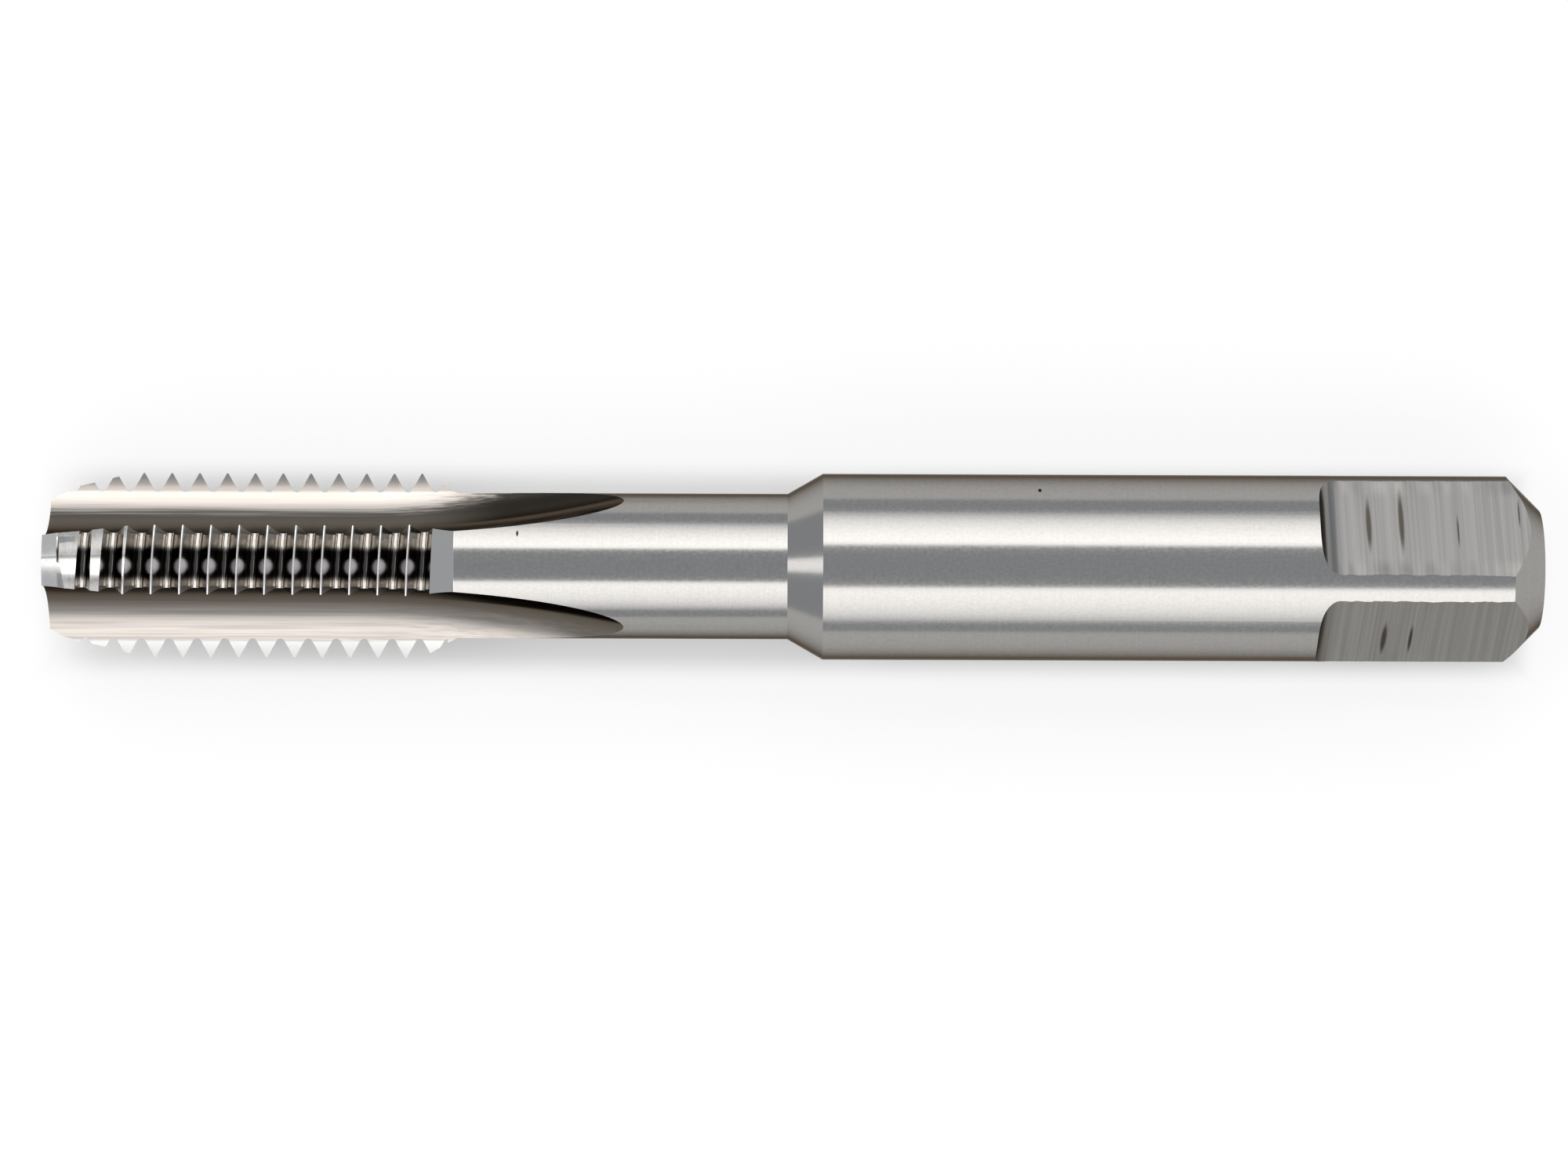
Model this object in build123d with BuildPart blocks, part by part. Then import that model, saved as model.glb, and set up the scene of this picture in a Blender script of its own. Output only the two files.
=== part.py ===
import os
from math import acos, cos, degrees, radians, sin, tan

from build123d import *

# Thread tap, M10 x 1.5, straight-fluted, one piece of ground high-speed steel. Millimetres.
# It is drawn standing on its square, with the axis along Z and the cutting end up, and laid along X
# at the end. The origin is the centre of the square's end face.

# Blank
overall_length = 80.0
shank_diameter = 10.0
shank_length = 38.44
neck_diameter = 7.82
cone_angle = 30.0
end_chamfer = 1.8

# Thread. Its helix is left-handed, so a crest climbs towards the cutting end as it turns clockwise.
thread_diameter = 10.04
thread_length = 20.0
pitch = 1.5
flank_angle = 60.0
crest_width = 0.035
root_width = 0.38
first_crest = 0.05

# Cutting end: a lead chamfer over the first threads, relieved behind each cutting edge
chamfer_length = 4.7
chamfer_angle = 14.0
chamfer_relief = 0.23
tip_face_diameter = 7.0
tip_bevel_angle = 30.0

# Flutes, ground lengthwise by a wheel that leaves its own radius where each flute runs out
flute_count = 3
land_angle = 43.0
web_diameter = 4.9
rake_angle = 10.0
full_flute_length = 16.3
flute_wheel_radius = 75.0

# Driving square
square_width = 8.0
square_length = 11.0
square_fillet = 1.1
square_sides = 4
square_turn = 30.0

# Centre holes, one in each end
centre_mouth_diameter = 3.35
centre_pilot_diameter = 1.6
centre_depth = 3.5
centre_angle = 60.0
pilot_point_angle = 118.0

# What a cutter reaches past the steel that it cuts, and what the thread is let into its core
overshoot = 1.0
sink = 0.1

# Where the turned faces begin and end: in a flute, clear of the lands
seam_angle = 61.07

# Sizes that follow
shank_radius = shank_diameter / 2
neck_radius = neck_diameter / 2
crest_radius = thread_diameter / 2
half_flank = radians(flank_angle / 2)
thread_depth = (pitch - crest_width - root_width) / 2 / tan(half_flank)
root_radius = crest_radius - thread_depth
cone_slope = tan(radians(cone_angle))
thread_start = overall_length - thread_length
cutter_radius = max(crest_radius, shank_radius) + overshoot
full_turn = 360
step_angle = full_turn / flute_count
turning_plane = Plane.XZ.rotated((0, 0, seam_angle))

# Bar with the core of the thread at its upper end. The bar stops where the neck ends.
neck_end = thread_start - (crest_radius - neck_radius) / cone_slope
with BuildPart() as bar:
    with BuildSketch(turning_plane) as bar_section:
        with BuildLine():
            Polyline(
                (0, 0),
                (shank_radius - end_chamfer, 0),
                (shank_radius, end_chamfer),
                (shank_radius, neck_end),
                (root_radius, neck_end),
                (root_radius, overall_length + overshoot),
                (0, overall_length + overshoot),
                close=True,
            )
        make_face()
    revolve(axis=Axis.Z)

# Neck, turned between the cone of the shank and the cone behind the thread
with BuildPart() as neck_cut:
    with BuildSketch(turning_plane) as neck_section:
        with BuildLine():
            Polyline(
                (neck_radius, shank_length + (shank_radius - neck_radius) / cone_slope),
                (cutter_radius, shank_length - (cutter_radius - shank_radius) / cone_slope),
                (cutter_radius, neck_end + (cutter_radius - neck_radius) / cone_slope),
                (neck_radius, neck_end),
                close=True,
            )
        make_face()
    revolve(axis=Axis.Z)

# Thread crest over one land: a short length of the one helix, let into the core. It reaches into the
# flutes at both ends, which then cut it to length.
crest_arc = (land_angle + step_angle) / 2
with BuildPart() as crest:
    with BuildLine() as crest_path:
        Helix(pitch=pitch, height=pitch * crest_arc / full_turn, radius=root_radius, lefthand=True)
    with BuildSketch(Plane.XZ) as crest_section:
        with BuildLine():
            half_crest = crest_width / 2
            half_base = half_crest + (thread_depth + sink) * tan(half_flank)
            Polyline(
                (root_radius - sink, -half_base),
                (root_radius - sink, half_base),
                (crest_radius, half_crest),
                (crest_radius, -half_crest),
                close=True,
            )
        make_face()
    sweep(path=crest_path.line, is_frenet=True)

# Where the crests stand: on each land in turn, down the helix from the tip and past the cone
turns = int(thread_length / pitch) + 2
crest_places = []
for turn in range(turns):
    for land in range(flute_count):
        start_angle = land * step_angle + crest_arc / 2
        start_height = overall_length - first_crest - pitch * (turn + start_angle / full_turn)
        crest_places.append(Location((0, 0, start_height), (0, 0, start_angle)))

# Tip, faced off and bevelled
tip_radius = tip_face_diameter / 2
bevel_length = (cutter_radius - tip_radius) / tan(radians(tip_bevel_angle))
with BuildPart() as tip_cut:
    with BuildSketch(turning_plane) as tip_section:
        with BuildLine():
            Polyline(
                (0, overall_length),
                (tip_radius, overall_length),
                (cutter_radius, overall_length - bevel_length),
                (cutter_radius, overall_length + pitch),
                (0, overall_length + pitch),
                close=True,
            )
        make_face()
    revolve(axis=Axis.Z)

# Lead chamfer of one land. Its axis stands off towards the cutting edge, so the chamfer falls away
# behind that edge. The cut turns from the middle of one flute to the middle of the next.
chamfer_slope = tan(radians(chamfer_angle))
chamfer_start = overall_length - chamfer_length
relief_plane = Plane.XZ.offset(chamfer_relief).rotated((0, 0, -step_angle / 2))
with BuildPart() as lead_chamfer:
    with BuildSketch(relief_plane) as chamfer_section:
        with BuildLine():
            Polyline(
                (cutter_radius, chamfer_start - (cutter_radius - crest_radius) / chamfer_slope),
                (crest_radius - (chamfer_length + overshoot) * chamfer_slope, overall_length + overshoot),
                (cutter_radius, overall_length + overshoot),
                close=True,
            )
        make_face()
    revolve(axis=Axis(relief_plane.origin, (0, 0, 1)), revolution_arc=step_angle)

# One flute. Seen along the axis it is two arcs that meet at the web: a tight one that hooks up to the
# cutting edge and an open one to the heel of the next land.
web_radius = web_diameter / 2
corner_angle = (step_angle - land_angle) / 2
corner_x = crest_radius * cos(radians(corner_angle))
corner_y = crest_radius * sin(radians(corner_angle))
hook_angle = radians(corner_angle - rake_angle)
hook_radius = (corner_x - web_radius) / (1 - sin(hook_angle))
bottom_y = corner_y - hook_radius * cos(hook_angle)
corner_reach = cutter_radius - corner_x
flute_plane = Plane.XY.offset(overall_length - full_flute_length).rotated((0, 0, step_angle / 2))
wheel_centre = flute_plane.from_local_coords((web_radius + flute_wheel_radius, bottom_y))
wheel_arc = degrees(acos(1 - (cutter_radius - web_radius) / flute_wheel_radius))
with BuildPart() as flute:
    with BuildSketch(flute_plane) as flute_section:
        with BuildLine():
            hook = TangentArc((web_radius, bottom_y), (corner_x, corner_y), tangent=(0, 1))
            heel = TangentArc((web_radius, bottom_y), (corner_x, -corner_y), tangent=(0, -1))
            Polyline(
                hook @ 1,
                hook @ 1 + (hook % 1) * (corner_reach / (hook % 1).X),
                heel @ 1 + (heel % 1) * (corner_reach / (heel % 1).X),
                heel @ 1,
            )
        make_face()
    extrude(flute_section.sketch, amount=full_flute_length + overshoot)
    revolve(
        flute_section.sketch,
        axis=Axis(wheel_centre, -flute_plane.y_dir),
        revolution_arc=wheel_arc,
    )

# One flat of the square, with the fillet that its cutter leaves towards the shank
flat_depth = shank_radius - square_width / 2 + overshoot
flat_plane = Plane.XZ.rotated((0, 0, square_turn))
with BuildPart() as flat:
    with BuildSketch(flat_plane) as flat_section:
        with BuildLine():
            fillet_start = (square_width / 2, square_length)
            fillet_end = (square_width / 2 + square_fillet, square_length + square_fillet)
            turn_in = TangentArc(fillet_start, fillet_end, tangent=(0, 1))
            Polyline(
                turn_in @ 1,
                (square_width / 2 + square_fillet + flat_depth, square_length + square_fillet),
                (square_width / 2 + square_fillet + flat_depth, -overshoot),
                (square_width / 2, -overshoot),
                turn_in @ 0,
            )
        make_face()
    extrude(amount=cutter_radius, both=True)

# Centre hole, drilled down from a face that lies on the XY plane
with BuildPart() as centre_hole:
    with BuildSketch(Plane.XZ) as centre_section:
        mouth_radius = centre_mouth_diameter / 2
        pilot_radius = centre_pilot_diameter / 2
        centre_slope = tan(radians(centre_angle / 2))
        with BuildLine():
            Polyline(
                (0, overshoot),
                (mouth_radius + overshoot * centre_slope, overshoot),
                (pilot_radius, -(mouth_radius - pilot_radius) / centre_slope),
                (pilot_radius, -centre_depth),
                (0, -centre_depth - pilot_radius / tan(radians(pilot_point_angle / 2))),
                close=True,
            )
        make_face()
    revolve(axis=Axis.Z)

# The bar with its crests, and everything that is turned, drilled or ground into it
with BuildPart() as ground:
    add(bar.part)
    with Locations(*crest_places):
        add(crest.part)
    add(neck_cut.part, mode=Mode.SUBTRACT)
    add(tip_cut.part, mode=Mode.SUBTRACT)
    with PolarLocations(0, flute_count):
        add(flute.part, mode=Mode.SUBTRACT)
        add(lead_chamfer.part, mode=Mode.SUBTRACT)
    with PolarLocations(0, square_sides):
        add(flat.part, mode=Mode.SUBTRACT)
    with Locations((0, 0, overall_length)):
        add(centre_hole.part, mode=Mode.SUBTRACT)
    add(centre_hole.part, rotation=(180, 0, 0), mode=Mode.SUBTRACT)

# Laid along X, cutting end towards -X, with the middle of one land on top
lying = Plane(origin=(0, 0, 0), x_dir=(0, 0, 1), z_dir=(-1, 0, 0))
with BuildPart(lying) as tap:
    add(ground.part)

tap.part.label = "tap"
os.makedirs("parts", exist_ok=True)
export_step(tap.part, "parts/tap.step")
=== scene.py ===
import math
import random

import bmesh
import bpy
from bpy.props import FloatProperty, FloatVectorProperty, IntProperty, PointerProperty
from mathutils import Matrix, Vector


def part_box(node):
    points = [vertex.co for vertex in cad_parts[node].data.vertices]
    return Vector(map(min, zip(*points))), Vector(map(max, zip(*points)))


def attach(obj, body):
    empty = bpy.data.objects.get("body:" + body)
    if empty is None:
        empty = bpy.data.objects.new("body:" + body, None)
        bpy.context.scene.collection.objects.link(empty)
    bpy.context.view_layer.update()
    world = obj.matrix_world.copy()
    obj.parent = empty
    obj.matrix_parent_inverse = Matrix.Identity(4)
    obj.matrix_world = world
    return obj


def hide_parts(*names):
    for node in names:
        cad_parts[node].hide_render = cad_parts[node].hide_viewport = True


bl_info = {
    "name": "Thread Tap",
    "version": (1, 0, 0),
    "blender": (4, 5, 0),
    "location": "3D View > Sidebar > Thread Tap",
    "description": "Grinds a straight-fluted thread tap and sets it on a pale floor",
    "category": "Object",
}

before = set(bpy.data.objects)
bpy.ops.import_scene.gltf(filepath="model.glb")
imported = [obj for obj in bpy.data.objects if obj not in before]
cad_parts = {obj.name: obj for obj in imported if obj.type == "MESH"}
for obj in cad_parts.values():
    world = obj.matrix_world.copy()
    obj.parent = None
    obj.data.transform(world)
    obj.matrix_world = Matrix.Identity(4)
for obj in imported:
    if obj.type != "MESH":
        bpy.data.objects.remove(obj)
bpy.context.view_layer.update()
tap_low, tap_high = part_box("tap")

# The bar and its cutters are made in millimetres, and the finished tap is scaled to metres
MM = 0.001
TURN = 2 * math.pi
# How far a cutter reaches past the steel, in millimetres
CLEAR = 1.0
# Corners as near as this are one, in a cutter and in the finished tap, in millimetres
SAME_PLACE = 1e-6
WELD_GAP = 0.0005
# A tap with fewer faces than this has been cut away by mistake
FEWEST_FACES = 5000


class BlankSizes(bpy.types.PropertyGroup):
    """Sizes of the turned blank"""

    length: FloatProperty(
        name="Length", description="Overall length", default=tap_high.x - tap_low.x, min=0.01, unit="LENGTH"
    )
    shank_diameter: FloatProperty(
        name="Shank Diameter", description="Diameter of the ground shank", default=0.010, min=0.001,
        unit="LENGTH",
    )
    shank_length: FloatProperty(
        name="Shank Length", description="From the square's end to the cone", default=0.03844, unit="LENGTH"
    )
    neck_diameter: FloatProperty(
        name="Neck Diameter", description="Diameter of the recessed neck", default=0.00782, unit="LENGTH"
    )
    cone_angle: FloatProperty(
        name="Cone Angle", description="Slope of the cones at the neck", default=math.radians(30),
        unit="ROTATION",
    )
    end_chamfer: FloatProperty(
        name="End Chamfer", description="Chamfer at the square's end", default=0.0018, unit="LENGTH"
    )
    steps: IntProperty(
        name="Steps", description="Facets round the axis", default=180, min=36, max=360
    )


class ThreadSizes(bpy.types.PropertyGroup):
    """Sizes of the left-hand thread and its lead chamfer"""

    diameter: FloatProperty(
        name="Diameter", description="Over the crests", default=0.01004, unit="LENGTH"
    )
    length: FloatProperty(
        name="Length", description="From the tip to the cone behind the thread", default=0.020, unit="LENGTH"
    )
    pitch: FloatProperty(
        name="Pitch", description="From one crest to the next", default=0.0015, unit="LENGTH"
    )
    flank_angle: FloatProperty(
        name="Flank Angle", description="Between the two flanks of a groove", default=math.radians(60),
        unit="ROTATION",
    )
    crest_width: FloatProperty(
        name="Crest Width", description="Flat on a crest", default=0.000035, precision=6, unit="LENGTH"
    )
    crest_wear: FloatProperty(
        name="Crest Wear", description="Width of the rounding beside a crest", default=0.00003, precision=6,
        unit="LENGTH",
    )
    root_width: FloatProperty(
        name="Root Width", description="Flat in a groove", default=0.00038, precision=5, unit="LENGTH"
    )
    first_crest: FloatProperty(
        name="First Crest", description="From the tip to the crest line on top", default=0.00005, precision=5,
        unit="LENGTH",
    )
    chamfer_length: FloatProperty(
        name="Chamfer Length", description="Length of the lead chamfer", default=0.0047, unit="LENGTH"
    )
    chamfer_angle: FloatProperty(
        name="Chamfer Angle", description="Slope of the lead chamfer", default=math.radians(14),
        unit="ROTATION",
    )
    chamfer_relief: FloatProperty(
        name="Chamfer Relief", description="How far the chamfer's axis stands off",
        default=0.00023, precision=5, unit="LENGTH",
    )
    tip_diameter: FloatProperty(
        name="Tip Diameter", description="Diameter of the tip's face", default=0.007, unit="LENGTH"
    )
    tip_angle: FloatProperty(
        name="Tip Bevel", description="Slope of the bevel round the tip", default=math.radians(30),
        unit="ROTATION",
    )


class FluteSizes(bpy.types.PropertyGroup):
    """Sizes of the flutes"""

    count: IntProperty(name="Count", description="Number of flutes", default=3, min=2, max=6)
    land_angle: FloatProperty(
        name="Land Angle", description="Angle that one land spans", default=math.radians(43), unit="ROTATION"
    )
    web_diameter: FloatProperty(
        name="Web Diameter", description="Core between the flutes", default=0.0042, unit="LENGTH"
    )
    rake_angle: FloatProperty(
        name="Rake Angle", description="Rake of the cutting edges", default=math.radians(10), unit="ROTATION"
    )
    full_length: FloatProperty(
        name="Full Length", description="Length at full depth", default=0.0163, unit="LENGTH"
    )
    wheel_radius: FloatProperty(
        name="Wheel Radius", description="Radius of the grinding wheel", default=0.060, unit="LENGTH"
    )


class SquareSizes(bpy.types.PropertyGroup):
    """Sizes of the driving square and of the centre holes"""

    width: FloatProperty(name="Width", description="Across the flats", default=0.008, unit="LENGTH")
    length: FloatProperty(name="Length", description="Length of the flats", default=0.011, unit="LENGTH")
    fillet: FloatProperty(
        name="Fillet", description="Radius at the flats' inner end", default=0.0011, unit="LENGTH"
    )
    turn: FloatProperty(
        name="Turn", description="Turn of the first flat from the top", default=math.radians(30),
        unit="ROTATION",
    )
    ridge_height: FloatProperty(
        name="Ridge Height", description="Height of the grinding ridges on the flats", default=0.000012,
        precision=6, unit="LENGTH",
    )
    edge_height: FloatProperty(
        name="Edge Height", description="Height of the ragged ridges along the flats' long edges",
        default=0.000035, precision=6, unit="LENGTH",
    )
    ridge_slant: FloatProperty(
        name="Ridge Slant", description="Sideways lean of the ridges, per length across", default=0.005
    )
    centre_mouth: FloatProperty(
        name="Centre Mouth", description="Mouth of the centre holes", default=0.00335, precision=5,
        unit="LENGTH",
    )
    centre_pilot: FloatProperty(
        name="Centre Pilot", description="Pilot of the centre holes", default=0.0016, unit="LENGTH"
    )
    centre_depth: FloatProperty(
        name="Centre Depth", description="Depth of the pilot", default=0.0035, unit="LENGTH"
    )
    centre_angle: FloatProperty(
        name="Centre Angle", description="Full angle of the centre holes", default=math.radians(60),
        unit="ROTATION",
    )
    point_angle: FloatProperty(
        name="Point Angle", description="Full angle of the pilot drill's point", default=math.radians(118),
        unit="ROTATION",
    )


class SteelFinish(bpy.types.PropertyGroup):
    """Colours of the ground steel, with painted highlights and painted shade"""

    shank_color: FloatVectorProperty(
        name="Round Colour", description="Ground round surfaces", default=(0.332, 0.323, 0.310),
        subtype="COLOR",
        min=0, max=1,
    )
    flat_color: FloatVectorProperty(
        name="Flat Colour", description="Ground flats of the square", default=(0.25, 0.244, 0.234),
        subtype="COLOR",
        min=0, max=1,
    )
    flute_color: FloatVectorProperty(
        name="Flute Colour", description="Ground flutes", default=(0.385, 0.354, 0.325),
        subtype="COLOR", min=0, max=1,
    )
    # Painted shade along the bottom of the flutes and where they run out into the neck
    flute_shade_color: FloatVectorProperty(
        name="Flute Bottom Colour", description="Darker steel along the bottom of the flutes",
        default=(0.135, 0.118, 0.10), subtype="COLOR", min=0, max=1,
    )
    thread_color: FloatVectorProperty(
        name="Thread Colour", description="Ground flanks of the thread", default=(0.49, 0.462, 0.43),
        subtype="COLOR",
        min=0, max=1,
    )
    # The crests are burnished, and their lighter colour is also a painted highlight
    crest_color: FloatVectorProperty(
        name="Crest Colour", description="Burnished crests of the thread", default=(0.66, 0.64, 0.62),
        subtype="COLOR", min=0, max=1,
    )
    # Painted highlight on the faces of the teeth at the heel of each land
    heel_highlight_color: FloatVectorProperty(
        name="Heel Colour", description="Pale faces of the teeth at the heel of each land",
        default=(0.8, 0.79, 0.765), subtype="COLOR", min=0, max=1,
    )
    # Painted highlights on the flanks beside the crests, on the lands' middles
    oval_highlight_color: FloatVectorProperty(
        name="Burnished Colour", description="Burnished spots beside the crests, on the lands' middles",
        default=(0.83, 0.8, 0.815), subtype="COLOR", min=0, max=1,
    )
    # A dark edge-on tint that paints shade along the steel's outline
    edge_color: FloatVectorProperty(
        name="Edge-On Colour", description="Tint of the steel where it is seen nearly edge-on",
        default=(0.22, 0.19, 0.16), subtype="COLOR", min=0, max=1,
    )
    scratch_color: FloatVectorProperty(
        name="Scratch Colour", description="Deep scratches on the flats", default=(0.05, 0.04, 0.03),
        subtype="COLOR", min=0, max=1,
    )
    pit_color: FloatVectorProperty(
        name="Pit Colour", description="Small pits in the round steel", default=(0.02, 0.016, 0.012),
        subtype="COLOR", min=0, max=1,
    )


class StageSetup(bpy.types.PropertyGroup):
    """Floor, lamps and camera"""

    floor_color: FloatVectorProperty(
        name="Floor Colour", description="Colour of the floor", default=(0.86, 0.85, 0.835), subtype="COLOR",
        min=0, max=1,
    )
    floor_width: FloatProperty(
        name="Floor Width", description="Length and width of the floor", default=6.0, unit="LENGTH"
    )
    floor_glow: FloatProperty(
        name="Floor Glow", description="Share of white in what the camera and the steel see of the floor",
        default=0.75, min=0, max=1, subtype="FACTOR",
    )
    surround_color: FloatVectorProperty(
        name="Surround Colour", description="Colour of the studio round the lamps",
        default=(0.58, 0.605, 0.645),
        subtype="COLOR", min=0, max=1,
    )
    lamp_height: FloatProperty(
        name="Lamp Height", description="Height of the lamps", default=0.8, unit="LENGTH"
    )
    lamp_length: FloatProperty(
        name="Lamp Length", description="Length of each lamp", default=1.34, unit="LENGTH"
    )
    back_gap: FloatProperty(
        name="Back Lamp Gap", description="Angle from overhead to the inner edge of the lamp behind the tap",
        default=math.radians(24), unit="ROTATION",
    )
    back_reach: FloatProperty(
        name="Back Lamp Reach", description="Angle from overhead at which that lamp fades out",
        default=math.radians(70.5), unit="ROTATION",
    )
    front_gap: FloatProperty(
        name="Front Lamp Gap", description="Angle from overhead to the inner edge of the lamp before the tap",
        default=math.radians(27.5), unit="ROTATION",
    )
    front_reach: FloatProperty(
        name="Front Lamp Reach", description="Angle from overhead at which that lamp fades out",
        default=math.radians(76.5), unit="ROTATION",
    )
    lamp_power: FloatProperty(
        name="Lamp Power", description="Power of a square metre of lamp", default=5.75, unit="POWER"
    )
    lamp_color: FloatVectorProperty(
        name="Lamp Colour", description="Colour of the lamps", default=(1.0, 0.985, 0.965), subtype="COLOR",
        min=0, max=1,
    )
    end_gap: FloatProperty(
        name="End Lamp Gap", description="Angle from overhead to the near end of the lamp at the cutting end",
        default=math.radians(26), unit="ROTATION",
    )
    end_reach: FloatProperty(
        name="End Lamp Reach", description="Angle from overhead to the far end of that lamp",
        default=math.radians(70), unit="ROTATION",
    )
    end_fade: FloatProperty(
        name="End Lamp Fade", description="Angle from overhead at which that lamp fades out",
        default=math.radians(84), unit="ROTATION",
    )
    end_width: FloatProperty(
        name="End Lamp Width", description="Half of the angle that that lamp spans sideways",
        default=math.radians(14), unit="ROTATION",
    )
    lens: FloatProperty(name="Lens", description="Focal length in millimetres", default=129.4)
    camera_distance: FloatProperty(
        name="Camera Distance", description="From the camera to the axis", default=0.303, unit="LENGTH"
    )
    camera_lean: FloatProperty(
        name="Camera Lean", description="Lean of the camera from overhead", default=math.radians(2.8),
        unit="ROTATION",
    )
    camera_roll: FloatProperty(
        name="Camera Roll", description="Roll of the camera", default=0.0038, unit="ROTATION"
    )
    aim: FloatVectorProperty(
        name="Aim", description="Point in the middle of the picture", default=(-0.04051, -0.001155, 0.0),
        subtype="TRANSLATION", precision=5,
    )


def at(s, radius, angle):
    """Point at a distance s from the square's end, at a radius, turned from the top towards +Y."""
    return Vector((-s, radius * math.sin(angle), radius * math.cos(angle)))


def cutter_object(name, bm, material):
    """Closed solid in its own object, with its faces turned outwards."""
    bmesh.ops.recalc_face_normals(bm, faces=bm.faces)
    mesh = bpy.data.meshes.new(name)
    bm.to_mesh(mesh)
    bm.free()
    mesh.materials.append(material)
    solid = bpy.data.objects.new(name, mesh)
    bpy.context.scene.collection.objects.link(solid)
    return solid


def turned(name, profile, steps, material, ring=False, sector=None, centre=None):
    """Solid turned from a profile of (s, radius) about the axis, or about a line beside it."""
    bm = bmesh.new()
    start, end = sector or (0.0, TURN)
    count = steps if sector is None else steps + 1
    # A whole turn starts a quarter of a facet off the top, clear of the corners of the thread's rod
    shift = 0.25 if sector is None else 0.0
    centre = centre or Vector((0, 0, 0))
    rings = []
    for s, radius in profile:
        if radius == 0:
            rings.append([bm.verts.new(at(s, 0, 0) + centre)])
        else:
            angles = [start + (end - start) * (k + shift) / steps for k in range(count)]
            rings.append([bm.verts.new(at(s, radius, angle) + centre) for angle in angles])
    neighbours = list(zip(rings, rings[1:]))
    if ring:
        neighbours.append((rings[-1], rings[0]))
    for a, b in neighbours:
        flat_end = abs(a[0].co.x - b[0].co.x) < SAME_PLACE
        for k in range(steps):
            j = (k + 1) % count
            if len(a) > 1 and len(b) > 1:
                bm.faces.new((a[k], b[k], b[j], a[j]))
            elif not flat_end:
                bm.faces.new((a[k % len(a)], b[k % len(b)], b[j] if len(a) == 1 else a[j]))
        if len(a) != len(b) and flat_end:
            bm.faces.new(a if len(a) > 1 else b)
    bmesh.ops.delete(bm, geom=[v for v in bm.verts if not v.link_faces], context="VERTS")
    if sector:
        bm.faces.new([r[0] for r in rings])
        bm.faces.new([r[-1] for r in rings])
    return cutter_object(name, bm, material)


def stacked(name, stations, material):
    """Solid through a row of sections with the same number of points, closed at both ends."""
    bm = bmesh.new()
    rows = [[bm.verts.new(p) for p in station] for station in stations]
    count = len(rows[0])
    for a, b in zip(rows, rows[1:]):
        for k in range(count):
            j = (k + 1) % count
            bm.faces.new((a[k], b[k], b[j], a[j]))
    bm.faces.new(rows[0])
    bm.faces.new(rows[-1])
    return cutter_object(name, bm, material)


def discard(solid):
    """Remove an object together with its mesh."""
    mesh = solid.data
    bpy.data.objects.remove(solid)
    bpy.data.meshes.remove(mesh)


def joined(name, parts):
    """One object from several that don't touch."""
    bm = bmesh.new()
    for part in parts:
        bm.from_mesh(part.data)
    mesh = bpy.data.meshes.new(name)
    bm.to_mesh(mesh)
    bm.free()
    mesh.materials.append(parts[0].data.materials[0])
    for part in parts:
        discard(part)
    whole = bpy.data.objects.new(name, mesh)
    bpy.context.scene.collection.objects.link(whole)
    return whole


def root_radius(thread):
    """Radius at the bottom of the thread, in millimetres."""
    flank = (thread.pitch - thread.crest_width - thread.root_width) / 2
    return (thread.diameter / 2 - flank / math.tan(thread.flank_angle / 2)) / MM


def neck_cones(blank, thread):
    """Where the cone of the shank and the cone behind the thread begin and end, in millimetres."""
    slope = math.tan(blank.cone_angle)
    neck = blank.neck_diameter / MM / 2
    shank_end = blank.shank_length / MM
    thread_end = (blank.length - thread.length) / MM
    neck_start = shank_end + (blank.shank_diameter / MM / 2 - neck) / slope
    neck_end = thread_end - (thread.diameter / MM / 2 - neck) / slope
    return (shank_end, neck_start), (neck_end, thread_end)


def shape_blank(blank, thread, material):
    """Bar of the shank's diameter, with a thin core under the thread."""
    length = blank.length / MM
    radius = blank.shank_diameter / MM / 2
    chamfer = blank.end_chamfer / MM
    core = (blank.neck_diameter / MM / 2 + root_radius(thread)) / 2
    # The full bar ends on the cone behind the thread, so that the last groove leaves no sliver there
    stop_short = 1.4
    bar_end = length - thread.length / MM - stop_short
    profile = [
        (0, 0),
        (0, radius - chamfer),
        (chamfer, radius),
        (bar_end, radius),
        (bar_end, core),
        (length + CLEAR, core),
        (length + CLEAR, 0),
    ]
    return turned("bar", profile, blank.steps, material)


def thread_profile(thread):
    """One pitch of the thread as (offset, radius) in millimetres, with a worn crest and a rounded root."""
    pitch = thread.pitch / MM
    crest = thread.crest_width / MM / 2
    root = thread.root_width / MM
    high = thread.diameter / MM / 2
    low = root_radius(thread)
    wear = thread.crest_wear / MM
    wear_lean = math.radians(28)
    worn = (crest + wear * math.cos(wear_lean), high - wear * math.sin(wear_lean))
    # The root is rounded by seven equal facets, with these leans on either side of a level one
    leans = [math.radians(lean) for lean in (42, 28, 14)]
    facet = root / (1 + 2 * sum(math.cos(lean) for lean in leans))
    hollow = [((pitch - root) / 2, low)]
    for lean in leans:
        s, radius = hollow[-1]
        hollow.append((s + facet * math.cos(lean), radius - facet * math.sin(lean)))
    far_side = [(pitch - s, radius) for s, radius in reversed(hollow)]
    return [(-worn[0], worn[1]), (-crest, high), (crest, high), worn] + hollow + far_side


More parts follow.
